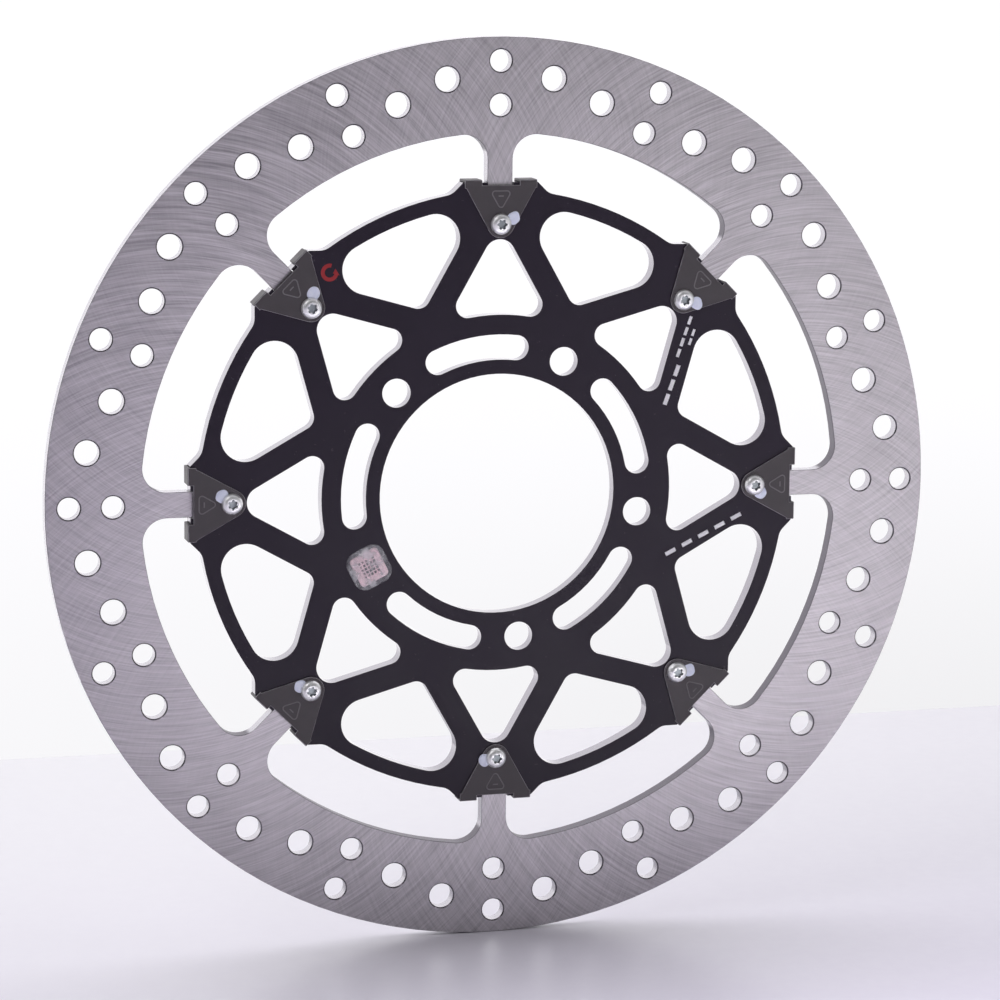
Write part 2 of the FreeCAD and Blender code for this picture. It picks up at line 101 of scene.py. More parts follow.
# ---- node trees -----------------------------------------------------------------------------
def add(tree, kind, inputs=None, **settings):
    """A new node: settings are its own fields, inputs are socket values or sockets to link."""
    made = tree.nodes.new(kind)
    for field, value in settings.items():
        setattr(made, field, value)
    for socket, value in (inputs or {}).items():
        if isinstance(value, bpy.types.NodeSocket):
            tree.links.new(value, made.inputs[socket])
        else:
            made.inputs[socket].default_value = value
    return made


def calc(tree, operation, *values):
    """A Math node's result."""
    return add(tree, "ShaderNodeMath", dict(enumerate(values)), operation=operation).outputs[0]


def plus(tree, first, second):
    return calc(tree, "ADD", first, second)


def minus(tree, first, second):
    return calc(tree, "SUBTRACT", first, second)


def times(tree, first, second):
    return calc(tree, "MULTIPLY", first, second)


def between(tree, share, first, second):
    """Value from first at share 0 to second at share 1."""
    return plus(tree, first, times(tree, share, minus(tree, second, first)))


def place_of(tree):
    """x, y and z of the shaded point in the object's own frame, in metres."""
    coordinates = add(tree, "ShaderNodeTexCoord")
    split = add(tree, "ShaderNodeSeparateXYZ", {0: coordinates.outputs["Object"]})
    return split.outputs[0], split.outputs[1], split.outputs[2]


def joined(tree, x, y, z):
    return add(tree, "ShaderNodeCombineXYZ", {0: x, 1: y, 2: z}).outputs[0]


def spot_of(tree):
    """The shaded point in the object's own frame, as one vector in metres."""
    return joined(tree, *place_of(tree))


def speckle(tree, vector, scale, detail, roughness=0.5):
    """Fractal noise from 0 to 1, about 0.5; scale is in cells per unit of the vector."""
    sockets = {"Vector": vector, "Scale": scale, "Detail": detail, "Roughness": roughness}
    return add(tree, "ShaderNodeTexNoise", sockets, noise_dimensions="3D").outputs[0]


def ramp(tree, value, low, high, to_low=0.0, to_high=1.0, kind="SMOOTHSTEP"):
    """Takes value from low..high to to_low..to_high, and holds it beyond either end."""
    sockets = {"Value": value, "From Min": low, "From Max": high}
    sockets.update({"To Min": to_low, "To Max": to_high})
    return add(tree, "ShaderNodeMapRange", sockets, interpolation_type=kind).outputs[0]


def blend(tree, share, first, second):
    """Colour mix from first at 0 to second at 1."""
    mix = add(tree, "ShaderNodeMix", {"Factor": share}, data_type="RGBA")
    for socket, value in ((mix.inputs[6], first), (mix.inputs[7], second)):
        if isinstance(value, bpy.types.NodeSocket):
            tree.links.new(value, socket)
        else:
            socket.default_value = (*value, 1.0)
    return mix.outputs[2]


def bumped(tree, height, distance, strength):
    sockets = {"Height": height, "Distance": distance, "Strength": strength}
    return add(tree, "ShaderNodeBump", sockets).outputs[0]


FACE_COSINES = (0.86, 0.95)         # of the angle between a normal and the spin axis
CHAMFER_COSINES = (0.45, 0.60)


def facing(tree):
    """Two masks: faces square to the spin axis, and the chamfers between them and the walls."""
    normal = add(tree, "ShaderNodeTexCoord").outputs["Normal"]
    along = add(tree, "ShaderNodeSeparateXYZ", {0: normal}).outputs[1]
    square = calc(tree, "ABSOLUTE", along)
    face = ramp(tree, square, *FACE_COSINES)
    return face, minus(tree, ramp(tree, square, *CHAMFER_COSINES), face)


def radius_of(tree, x, z):
    return calc(tree, "SQRT", plus(tree, times(tree, x, x), times(tree, z, z)))


def at_station(tree, x, z):
    """Distance of the point to one side of the nearest station's radius, and along that radius."""
    turn = calc(tree, "PINGPONG", calc(tree, "ARCTAN2", x, z), math.radians(PITCH / 2.0))
    radius = radius_of(tree, x, z)
    aside = times(tree, radius, calc(tree, "SINE", turn))
    return aside, times(tree, radius, calc(tree, "COSINE", turn))


def new_material(name, **constants):
    """A material with one Principled shader, its plain values set on the shader's own sockets."""
    material = bpy.data.materials.new(name)
    material.use_nodes = True
    tree = material.node_tree
    shader = tree.nodes["Principled BSDF"]
    for socket, value in constants.items():
        shader.inputs[socket.replace("_", " ")].default_value = value
    return material, tree, shader


def wire(tree, shader, **sockets):
    for socket, value in sockets.items():
        tree.links.new(value, shader.inputs[socket.replace("_", " ")])


# ---- materials ------------------------------------------------------------------------------
WHEEL_RADIUS = 0.100                # cup wheel that ground the band
WHEEL_OFFSET = 0.122                # its spindle from the spin axis
LEFT_STREAKS = (1.0, 150.0, 45.0)   # hand, streaks per radian, and streaks per metre of radius
RIGHT_STREAKS = (-1.0, 180.0, 50.0)
# The swing of the hands' shares round the disc is a painted highlight: it picks the hand of
# streaks that catches the light at each place.
HAND_MEAN = 0.5                     # share of the right hand, which swings twice in a turn
PAINTED_GLINT_SWING = 0.4
STREAK_RANGE = (0.36, 0.64)         # part of the streaks' noise in use
STEEL_SHADES = (0.33, 0.60)
STEEL_GREEN = 0.948                 # of a ground face, against its red
STEEL_BLUE = 1.01
STEEL_WALL = (0.39, 0.375, 0.405)
STEEL_INNER_EDGE = (0.11, 0.10, 0.12)
# Chamfer colour is painted shade: dark, standing in for the dark reflection that the chamfers
# show.
STEEL_CHAMFER_SHADE = (0.14, 0.125, 0.145)
SHADE_RADIUS = 0.131                # the faces dim from here to the band's outline
FLANK_ASIDE = (0.0056, 0.0048)      # bright tab flanks: none at the first, full at the second
FLANK_OUTWARD = (0.1275, 0.1265)
INNER_EDGE = (0.1345, 0.1330)       # dull inner edge, by radius in the same way


def grinding_streaks(tree, x, z, hand, pitch, stretch):
    """Long streaks along one hand of the wheel's arcs."""
    radius = radius_of(tree, x, z)
    rest = plus(tree, times(tree, radius, radius), WHEEL_OFFSET ** 2 - WHEEL_RADIUS ** 2)
    cosine = calc(tree, "DIVIDE", rest, times(tree, radius, 2.0 * WHEEL_OFFSET))
    swing = times(tree, calc(tree, "ARCCOSINE", calc(tree, "MINIMUM", cosine, 1.0)), hand)
    spindle = plus(tree, calc(tree, "ARCTAN2", z, x), swing)
    across = times(tree, calc(tree, "COSINE", spindle), pitch)
    around = times(tree, calc(tree, "SINE", spindle), pitch)
    vector = joined(tree, across, around, times(tree, radius, stretch))
    return speckle(tree, vector, 1.0, detail=5.0, roughness=0.66)


def ground_steel():
    """Band: ground faces with a painted highlight in the streaks, bright walls and tab flanks,
    dull inner edge, and chamfers darkened as painted shade.
    """
    material, tree, shader = new_material("ground_steel", Metallic=1.0)
    x, y, z = place_of(tree)
    face, sloped = facing(tree)
    radius = radius_of(tree, x, z)

    left = grinding_streaks(tree, x, z, *LEFT_STREAKS)
    right = grinding_streaks(tree, x, z, *RIGHT_STREAKS)
    # Painted highlight: the share of each hand swings with the angle round the disc, as the light
    # picks out one hand more at each place.
    twice = times(tree, calc(tree, "ARCTAN2", z, x), 2.0)
    hand = plus(tree, times(tree, calc(tree, "SINE", twice), PAINTED_GLINT_SWING), HAND_MEAN)
    streaks = between(tree, hand, left, right)
    cloud = speckle(tree, joined(tree, x, y, z), 38.0, detail=3.0)
    shade = ramp(tree, streaks, *STREAK_RANGE, *STEEL_SHADES, "LINEAR")
    shade = times(tree, shade, ramp(tree, cloud, 0.3, 0.7, 0.97, 1.03, "LINEAR"))
    outer_dimming = ramp(tree, radius, SHADE_RADIUS, BAND_RADIUS, 1.04, 0.96, "LINEAR")
    shade = times(tree, shade, outer_dimming)
    skin = joined(tree, shade, times(tree, shade, STEEL_GREEN), times(tree, shade, STEEL_BLUE))

    aside, outward = at_station(tree, x, z)
    flank = times(tree, ramp(tree, aside, *FLANK_ASIDE), ramp(tree, outward, *FLANK_OUTWARD))
    edge = times(tree, ramp(tree, radius, *INNER_EDGE), minus(tree, 1.0, flank))
    wall = blend(tree, edge, STEEL_WALL, STEEL_INNER_EDGE)
    # Chamfers take the painted shade colour.
    colour = blend(tree, face, blend(tree, sloped, wall, STEEL_CHAMFER_SHADE), skin)

    turning = joined(tree, 0.0, times(tree, y, 6000.0), cloud)
    turning = speckle(tree, turning, 1.0, detail=2.0)
    rough_face = ramp(tree, streaks, *STREAK_RANGE, 0.34, 0.48)
    rough_wall = ramp(tree, edge, 0.0, 1.0, 0.26, 0.42)
    rough = between(tree, face, rough_wall, rough_face)
    height = between(tree, face, turning, streaks)
    normal = bumped(tree, height, 0.12 * MM, strength=0.4)
    wire(tree, shader, Base_Color=colour, Roughness=rough, Normal=normal)
    return material


ANODISED_DARK = (0.0080, 0.0032, 0.0130)
ANODISED_LIGHT = (0.0135, 0.0062, 0.0215)
ANODISED_CHAMFER = (0.030, 0.024, 0.034)
ANODISED_DUST = (0.08, 0.07, 0.09)
BARE_ALUMINIUM = (0.285, 0.270, 0.300)
BARE_METALLIC = 0.8
BARE_ROUGHNESS = 0.17


def black_anodised():
    """Carrier: satin violet-black faces, and smooth walls machined back to grey metal."""
    material, tree, shader = new_material("black_anodised", IOR=1.6, Specular_IOR_Level=0.22)
    spot = spot_of(tree)
    face, sloped = facing(tree)
    grain = speckle(tree, spot, 2600.0, detail=2.0)
    smudge = speckle(tree, spot, 30.0, detail=4.0, roughness=0.6)
    dust = ramp(tree, speckle(tree, spot, 900.0, detail=1.0), 0.76, 0.80)
    tint = blend(tree, smudge, ANODISED_DARK, ANODISED_LIGHT)
    tint = blend(tree, sloped, tint, ANODISED_CHAMFER)
    tint = blend(tree, times(tree, dust, 0.4), tint, ANODISED_DUST)
    bare = minus(tree, 1.0, plus(tree, face, sloped))
    colour = blend(tree, bare, tint, BARE_ALUMINIUM)
    satin = plus(tree, smudge, times(tree, grain, 0.4))
    rough = between(tree, face, BARE_ROUGHNESS, ramp(tree, satin, 0.4, 1.0, 0.34, 0.46))
    normal = bumped(tree, grain, 0.02 * MM, strength=0.5)
    wire(tree, shader, Base_Color=colour, Roughness=rough, Normal=normal)
    wire(tree, shader, Metallic=times(tree, bare, BARE_METALLIC))
    return material


PHOSPHATE_DARK = (0.036, 0.031, 0.036)
PHOSPHATE_LIGHT = (0.070, 0.061, 0.068)
PHOSPHATE_CRYSTAL = (0.105, 0.094, 0.102)
# Lighter colour along chamfers and bends: partly edge wear, partly painted highlight.
PHOSPHATE_EDGE_WEAR_AND_GLINT = (0.42, 0.40, 0.43)


def phosphated_sheet():
    """Clips and backing plates: dark grey crystals, lighter in patches along the chamfers and
    bends, partly edge wear and partly painted highlight.
    """
    material, tree, shader = new_material("phosphated_sheet", Metallic=0.30)
    spot = spot_of(tree)
    sloped = facing(tree)[1]
    crystal = speckle(tree, spot, 3200.0, detail=3.0, roughness=0.6)
    patch = speckle(tree, spot, 190.0, detail=4.0, roughness=0.6)
    # Edge wear and painted highlight on the chamfers and bends.
    edge_wear_and_glint = times(tree, sloped, ramp(tree, patch, 0.30, 0.60, 0.3, 0.9))
    tint = blend(tree, patch, PHOSPHATE_DARK, PHOSPHATE_LIGHT)
    tint = blend(tree, times(tree, crystal, 0.35), tint, PHOSPHATE_CRYSTAL)
    colour = blend(tree, edge_wear_and_glint, tint, PHOSPHATE_EDGE_WEAR_AND_GLINT)
    rough = ramp(tree, plus(tree, crystal, patch), 0.6, 1.4, 0.40, 0.60)
    normal = bumped(tree, crystal, 0.03 * MM, strength=0.6)
    wire(tree, shader, Base_Color=colour, Roughness=rough, Normal=normal)
    return material


SPRING_DARK = (0.30, 0.28, 0.26)
SPRING_LIGHT = (0.46, 0.44, 0.45)


def spring_sheet():
    """Leaf springs: cold-rolled strip with a faint temper colour."""
    material, tree, shader = new_material("spring_sheet", Metallic=1.0)
    x, y, z = place_of(tree)
    stretched = joined(tree, times(tree, x, 0.2), y, times(tree, z, 0.2))
    rolled = speckle(tree, stretched, 2500.0, detail=3.0)
    temper = speckle(tree, joined(tree, x, y, z), 140.0, detail=2.0)
    colour = blend(tree, temper, SPRING_DARK, SPRING_LIGHT)
    rough = ramp(tree, rolled, 0.3, 0.7, 0.24, 0.40)
    normal = bumped(tree, rolled, 0.02 * MM, strength=0.4)
    wire(tree, shader, Base_Color=colour, Roughness=rough, Normal=normal)
    return material


ZINC_DARK = (0.92, 0.93, 0.95)
ZINC_LIGHT = (0.98, 0.98, 0.97)
# The recess colour is painted shade: darker inside each screw's driver recess, where shade falls.
ZINC_RECESS_SHADE = (0.34, 0.37, 0.39)
RECESS_SHADE_DEPTHS = (0.05 * MM, 0.6 * MM)       # below the head's top: no painted shade, full painted shade
RECESS_SHADE_RADII = (2.05 * MM, 1.90 * MM)


def zinc_plate():
    """Fasteners: bright zinc, with painted shade inside the driver recess of each screw."""
    material, tree, shader = new_material("zinc_plate", Metallic=0.80)
    x, y, z = place_of(tree)
    spot = joined(tree, x, y, z)
    bloom = speckle(tree, spot, 420.0, detail=3.0)
    grain = speckle(tree, spot, 3500.0, detail=2.0)
    aside, outward = at_station(tree, x, z)
    from_screw = radius_of(tree, aside, minus(tree, outward, SCREW_RADIUS))
    # Painted shade inside the driver recess.
    sunk = ramp(tree, y, *(HEAD_TOP_Y + depth for depth in RECESS_SHADE_DEPTHS))
    recess_shade = times(tree, sunk, ramp(tree, from_screw, *RECESS_SHADE_RADII))
    colour = blend(tree, recess_shade, blend(tree, bloom, ZINC_DARK, ZINC_LIGHT), ZINC_RECESS_SHADE)
    mottle = plus(tree, bloom, times(tree, grain, 0.5))
    rough = ramp(tree, mottle, 0.5, 1.1, 0.32, 0.46)
    normal = bumped(tree, grain, 0.01 * MM, strength=0.5)
    wire(tree, shader, Base_Color=colour, Roughness=rough, Normal=normal)
    return material


PAINT_DARK = (0.66, 0.71, 0.90)
PAINT_LIGHT = (0.84, 0.87, 0.98)


def torque_paint():
    """Lacquer over the clip screws: pale blue and slightly glossy."""
    material, tree, shader = new_material("torque_paint", Coat_Weight=0.4, Coat_Roughness=0.2)
    pool = speckle(tree, spot_of(tree), 700.0, detail=3.0)
    colour = blend(tree, pool, PAINT_DARK, PAINT_LIGHT)
    rough = ramp(tree, pool, 0.3, 0.7, 0.30, 0.48)
    normal = bumped(tree, pool, 0.10 * MM, strength=0.5)
    wire(tree, shader, Base_Color=colour, Roughness=rough, Normal=normal)
    return material


def marking_ink(name, dark, light):
    """Laser or pad-printed mark with a slightly uneven fill."""
    material, tree, shader = new_material(name)
    fill = speckle(tree, spot_of(tree), 1800.0, detail=3.0)
    colour = blend(tree, fill, dark, light)
    rough = ramp(tree, fill, 0.3, 0.7, 0.50, 0.70)
    normal = bumped(tree, fill, 0.02 * MM, strength=0.4)
    wire(tree, shader, Base_Color=colour, Roughness=rough, Normal=normal)
    return material


FILM_DARK = (0.66, 0.66, 0.70)
FILM_LIGHT = (0.92, 0.91, 0.95)
FOIL_DARK = (0.88, 0.54, 0.61)
FOIL_LIGHT = (0.97, 0.78, 0.82)


def label_film():
    """Clear film with hazy patches."""
    material, tree, shader = new_material("label_film", Roughness=0.14, IOR=1.5)
    haze = speckle(tree, spot_of(tree), 260.0, detail=3.0)
    colour = blend(tree, haze, FILM_DARK, FILM_LIGHT)
    opaque = ramp(tree, haze, 0.3, 0.7, 0.12, 0.40)
    normal = bumped(tree, haze, 0.25 * MM, strength=0.5)
    wire(tree, shader, Base_Color=colour, Alpha=opaque, Normal=normal)
    return material


def label_foil():
    """Pink creased foil under the film."""
    material, tree, shader = new_material("label_foil", Metallic=0.0)
    crease = speckle(tree, spot_of(tree), 330.0, detail=4.0)
    colour = blend(tree, crease, FOIL_DARK, FOIL_LIGHT)
    rough = ramp(tree, crease, 0.3, 0.7, 0.22, 0.40)
    normal = bumped(tree, crease, 0.25 * MM, strength=0.6)
    wire(tree, shader, Base_Color=colour, Roughness=rough, Normal=normal)
    return material


WHITE_INK = ((0.80, 0.79, 0.83), (0.95, 0.94, 0.97))
RED_INK = ((0.25, 0.006, 0.010), (0.40, 0.012, 0.020))
GREY_INK = ((0.05, 0.04, 0.05), (0.12, 0.10, 0.12))
STAMP_INK = ((0.12, 0.112, 0.12), (0.19, 0.178, 0.19))

MATERIALS = {
    "ground_steel": ground_steel(),
    "black_anodised": black_anodised(),
    "phosphated_sheet": phosphated_sheet(),
    "spring_sheet": spring_sheet(),
    "zinc_plate": zinc_plate(),
    "torque_paint": torque_paint(),
    "white_mark": marking_ink("white_mark", *WHITE_INK),
    "red_mark": marking_ink("red_mark", *RED_INK),
    "grey_print": marking_ink("grey_print", *GREY_INK),
    "clip_stamp": marking_ink("clip_stamp", *STAMP_INK),
    "label_film": label_film(),
    "label_foil": label_foil(),
}
NODE_SLOTS = {              # start of a CAD node's name, and the slot that the record gives it
    "braking_band": "ground_steel",
    "carrier": "black_anodised",
    "retaining_clip": "phosphated_sheet",
    "backing_plate": "phosphated_sheet",
    "antirattle_spring": "spring_sheet",
    "clip_": "zinc_plate",
}


def dress_frame():
    """Gives every CAD node the material of its slot in the record."""
    for name, node in NODES.items():
        slot = next(slot for start, slot in NODE_SLOTS.items() if name.startswith(start))
        node.data.materials.clear()
        node.data.materials.append(MATERIALS[slot])


# ---- making pieces --------------------------------------------------------------------------
def station_matrix(number):
    """Carries a piece made flat at a station to its place; +y there is the radius."""
    angle = math.radians(90.0 - (number - 1) * PITCH)
    right = Vector((math.sin(angle), 0.0, -math.cos(angle)))
    outward = Vector((math.cos(angle), 0.0, math.sin(angle)))
    return Matrix((right, outward, right.cross(outward))).transposed().to_4x4()


def face_matrix(x, z, turn, face_y):
    """Carries a flat piece to a front face at (x, z), turned anticlockwise by turn degrees."""
    angle = math.radians(turn)
    right = Vector((math.cos(angle), 0.0, math.sin(angle)))
    up = Vector((-math.sin(angle), 0.0, math.cos(angle)))
    spin = Matrix((right, up, right.cross(up))).transposed().to_4x4()
    return Matrix.Translation((x, face_y, z)) @ spin


def finish_piece(name, mesh, place, material, smooth=True):
    """Turns a bmesh made flat into a piece that rides on the carrier."""
    bmesh.ops.transform(mesh, matrix=place, verts=mesh.verts)
    bmesh.ops.recalc_face_normals(mesh, faces=mesh.faces)
    data = bpy.data.meshes.new(name)
    mesh.to_mesh(data)
    mesh.free()
    for face in data.polygons:
        face.use_smooth = smooth
    data.materials.append(MATERIALS[material])
    piece = bpy.data.objects.new(name, data)
    bpy.context.scene.collection.objects.link(piece)
    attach(piece, CARRIER_BODY)


def layered(mesh, rings, top_point):
    """Skins rings of points, lowest first, and closes them with a flat bottom and a top point."""
    rows = [[mesh.verts.new(point) for point in ring] for ring in rings]
    count = len(rows[0])
    for lower, upper in zip(rows, rows[1:]):
        for i in range(count):
            j = (i + 1) % count
            mesh.faces.new((lower[i], lower[j], upper[j], upper[i]))
    mesh.faces.new(list(reversed(rows[0])))
    crown = mesh.verts.new(top_point)
    for i in range(count):
        mesh.faces.new((rows[-1][i], rows[-1][(i + 1) % count], crown))


# ---- torque paint ---------------------------------------------------------------------------
PAINT_RADIUS = 2.4 * MM
PAINT_HEIGHT = 0.34 * MM
PAINT_SEGMENTS = 40
PAINT_RINGS = 9
PAINT_WAVE = 0.16           # unevenness of a dab's edge, as a share of its radius
PAINT_FULLNESS = 0.8        # below 1, the dome is blunter than a quarter of a sine wave
PAINT_NOISE_STEP = 3.7      # from one dab to the next in the noise, so that no two are alike
# One dab touches each screw head: how far right of the screw and outward of it, in millimetres.
PAINT_OFFSETS = (
    (4.7, 2.1), (4.5, 2.5), (3.0, 2.5), (-3.6, 3.0),
    (4.1, 0.7), (3.8, 1.5), (2.8, 3.6), (4.3, 3.2),
)


def paint_dab(number, offset):
    """Blob of lacquer with an uneven edge and a domed top."""
    centre = Vector((offset[0] * MM, SCREW_RADIUS + offset[1] * MM, 0.0))
    rings = []
    for ring in range(PAINT_RINGS):
        climb = math.pi / 2.0 * ring / PAINT_RINGS
        height = PAINT_HEIGHT * math.sin(climb) ** PAINT_FULLNESS
        points = []
        for i in range(PAINT_SEGMENTS):
            angle = 2.0 * math.pi * i / PAINT_SEGMENTS
            around = Vector((math.cos(angle), math.sin(angle), 0.0))
            wave = noise.noise(around + Vector((0.0, 0.0, number * PAINT_NOISE_STEP)))
            reach = PAINT_RADIUS * math.cos(climb) * (1.0 + PAINT_WAVE * wave)
            points.append(centre + around * reach + Vector((0.0, 0.0, height)))
        rings.append(points)
    mesh = bmesh.new()
    layered(mesh, rings, centre + Vector((0.0, 0.0, PAINT_HEIGHT)))
    place = Matrix.Translation((0.0, CLIP_FACE_Y, 0.0)) @ station_matrix(number)
    finish_piece(f"torque_paint_{number}", mesh, place, "torque_paint")


# ---- raised marks ---------------------------------------------------------------------------
BAR_BEVEL = 0.12            # as a share of the bar's shorter side
BAR_BEVEL_DROP = 0.4        # bevel's depth, as a share of its width


def bar(mesh, length, width, height, x, y):
    """Low bar with bevelled top edges, centred on (x, y)."""
    edge = min(width, length) * BAR_BEVEL
    levels = ((0.0, 0.0), (height - edge * BAR_BEVEL_DROP, 0.0), (height, edge))
    rows = []
    for z, inset in levels:
        half_x = length / 2.0 - inset
        half_y = width / 2.0 - inset
        corners = ((-half_x, -half_y), (half_x, -half_y), (half_x, half_y), (-half_x, half_y))
        rows.append([mesh.verts.new((x + cx, y + cy, z)) for cx, cy in corners])
    for lower, upper in zip(rows, rows[1:]):
        for i in range(4):
            j = (i + 1) % 4
            mesh.faces.new((lower[i], lower[j], upper[j], upper[i]))
    mesh.faces.new(list(reversed(rows[0])))
    mesh.faces.new(rows[-1])


STAMP_HEIGHT = 0.05 * MM
STAMP_WIDTH = 0.45 * MM
STAMP_SIDE = 8.0 * MM
STAMP_CORNER = 0.13         # corner radius, as a share of the side
STAMP_CORNER_STEPS = 6
STAMP_BAR_LENGTH = 0.24 * STAMP_SIDE
STAMP_BAR_RISE = 0.06 * STAMP_SIDE
STAMP_RADIUS = 107.9 * MM   # stamp's centre from the spin axis
# Ribbon's section: across, as a share of its width, and up, as a share of its height.
RIBBON_SECTION = ((-0.5, 0.0), (-0.35, 0.7), (0.0, 1.0), (0.35, 0.7), (0.5, 0.0))


def outline_loop(mesh, points, width, height):
    """Closed ribbon that follows a loop of flat points, with a rounded back."""
    count = len(points)
    rows = []
    for i in range(count):
        ahead = (points[(i + 1) % count] - points[i - 1]).normalized()
        side = Vector((-ahead.y, ahead.x, 0.0)) * width
        lift = Vector((0.0, 0.0, height))
        rows.append([mesh.verts.new(points[i] + side * s + lift * h) for s, h in RIBBON_SECTION])
    for i in range(count):
        here, there = rows[i], rows[(i + 1) % count]
        for k in range(len(RIBBON_SECTION)):
            m = (k + 1) % len(RIBBON_SECTION)
            mesh.faces.new((here[k], here[m], there[m], there[k]))


def rounded_triangle(side, radius, steps):
    """Equilateral triangle with round corners, pointing towards -y."""
    centre_reach = side / math.sqrt(3.0) - 2.0 * radius
    points = []
    for corner in range(3):
        middle = math.radians(-90.0 + 120.0 * corner)
        centre = Vector((math.cos(middle), math.sin(middle), 0.0)) * centre_reach
        for step in range(steps + 1):
            angle = middle + math.radians(-60.0 + 120.0 * step / steps)
            points.append(centre + Vector((math.cos(angle), math.sin(angle), 0.0)) * radius)
    return points


def clip_stamp(number):
    """Plain stamped triangle with a short bar inside, on the face of a clip."""
    mesh = bmesh.new()
    outline = rounded_triangle(STAMP_SIDE, STAMP_SIDE * STAMP_CORNER, STAMP_CORNER_STEPS)
    outline_loop(mesh, outline, STAMP_WIDTH, STAMP_HEIGHT)
    bar(mesh, STAMP_BAR_LENGTH, STAMP_WIDTH, STAMP_HEIGHT, 0.0, STAMP_BAR_RISE)
    lift = Matrix.Translation((0.0, STAMP_RADIUS, 0.0))
    place = Matrix.Translation((0.0, CLIP_FACE_Y, 0.0)) @ station_matrix(number) @ lift
    finish_piece(f"clip_stamp_{number}", mesh, place, "clip_stamp")


MARK_HEIGHT = 0.03 * MM
# Rows of white dashes: name, dashes in the row, length, width and gap of the dashes in
# millimetres, x and z of the row's middle in metres, and its turn in degrees.
DASH_ROWS = (
    ("mark_dashes_upper", 4, 3.2, 1.3, 1.0, 0.0702, 0.0558, 71.0),
    ("mark_dashes_short", 2, 2.6, 1.1, 0.9, 0.0731, 0.0556, 71.0),
    ("mark_dashes_lower", 3, 4.4, 1.8, 1.2, 0.0657, 0.0381, 70.5),
    ("mark_dashes_side", 5, 4.4, 1.7, 2.6, 0.0790, -0.0179, 26.0),
)


def spoke_marks():
    """White dashes on two spokes, in place of lettering."""
    for name, dashes, length, width, gap, x, z, turn in DASH_ROWS:
        mesh = bmesh.new()
        for dash in range(dashes):
            along = (dash - (dashes - 1) / 2.0) * (length + gap)
            bar(mesh, length * MM, width * MM, MARK_HEIGHT, along * MM, 0.0)
        place = face_matrix(x, z, turn, CARRIER_FACE_Y)
        finish_piece(name, mesh, place, "white_mark", False)


def slab(mesh, points, height):
    """Flat-topped solid over a loop of (x, y) points."""
    low = [mesh.verts.new((x, y, 0.0)) for x, y in points]
    top = [mesh.verts.new((x, y, height)) for x, y in points]
    for i in range(len(points)):
        j = (i + 1) % len(points)
        mesh.faces.new((low[i], low[j], top[j], top[i]))
    mesh.faces.new(list(reversed(low)))
    mesh.faces.new(top)


ARROW_RADIUS = 2.5 * MM
ARROW_WIDTH = 1.4 * MM
ARROW_HEAD_WIDTH = 2.6 * MM
ARROW_START = 75.0          # degrees, round to the head
ARROW_SWEEP = 268.0         # degrees
ARROW_HEAD_SWEEP = 50.0     # degrees
ARROW_STEPS = 36
ARROW_X = -62.7 * MM
ARROW_Z = 82.0 * MM


def rotation_arrow():
    """Small red arrow bent round almost into a ring."""
    def spot(radius, degrees):
        return radius * math.cos(math.radians(degrees)), radius * math.sin(math.radians(degrees))

    turns = [ARROW_START + ARROW_SWEEP * i / ARROW_STEPS for i in range(ARROW_STEPS + 1)]
    points = [spot(ARROW_RADIUS + ARROW_WIDTH / 2.0, turn) for turn in turns]
    points.append(spot(ARROW_RADIUS + ARROW_HEAD_WIDTH / 2.0, turns[-1]))
    points.append(spot(ARROW_RADIUS, turns[-1] + ARROW_HEAD_SWEEP))
    points.append(spot(ARROW_RADIUS - ARROW_HEAD_WIDTH / 2.0, turns[-1]))
    points += [spot(ARROW_RADIUS - ARROW_WIDTH / 2.0, turn) for turn in reversed(turns)]
    mesh = bmesh.new()
    slab(mesh, points, MARK_HEIGHT)
    place = face_matrix(ARROW_X, ARROW_Z, 0.0, CARRIER_FACE_Y)
    finish_piece("rotation_arrow", mesh, place, "red_mark", False)


# ---- stock label ----------------------------------------------------------------------------
LABEL_ANGLE = 207.0         # of the bolt hole that it covers, in degrees from +x
LABEL_TURN = 27.0           # degrees
LABEL_DROP = 0.75 * MM      # label centre below the hole's
FILM_SIDE = 14.9 * MM
FILM_CORNER_R = 4.5 * MM
FILM_THICKNESS = 0.12 * MM
FILM_CROWN = 0.10 * MM
FILM_BASE = 0.12 * MM       # underside above the carrier's face
FOIL_SIDE = 11.4 * MM
FOIL_CORNER_R = 1.5 * MM
FOIL_THICKNESS = 0.05 * MM
FOIL_CROWN = 0.04 * MM
FOIL_BASE = 0.01 * MM
LABEL_STEPS = 28
LABEL_FLATNESS = 6          # power that keeps a sticker flat up to near its edge
LABEL_EDGE_SLOPE = 3.0
LABEL_WELD = 0.001 * MM     # joins the top and bottom sheets where they meet
CREASE_NOISE_STEP = 50.0    # sets the foil's creases apart from the film's
CREASE_HEIGHT = 0.05 * MM
CREASES_PER_METRE = 420.0
PRINT_CELLS = 5
PRINT_PITCH = 1.35 * MM
PRINT_CELL_SIDE = 0.7 * PRINT_PITCH
PRINT_THICKNESS = 0.02 * MM
PRINT_BASE = 0.10 * MM


def corner_pull(u, v, corner):
    """Scale at (u, v) that takes a square of half side 1 to one with round corners."""
    reach = max(abs(u), abs(v))
    if reach == 0.0:
        return 1.0
    a, b = abs(u) / reach, abs(v) / reach
    inner = 1.0 - corner
    square = a * a + b * b
    root = inner * inner * (a + b) ** 2 - square * (2.0 * inner * inner - corner * corner)
    if root <= 0.0:
        return 1.0
    scale = (inner * (a + b) + math.sqrt(root)) / square
    return scale if min(a, b) * scale > inner else 1.0


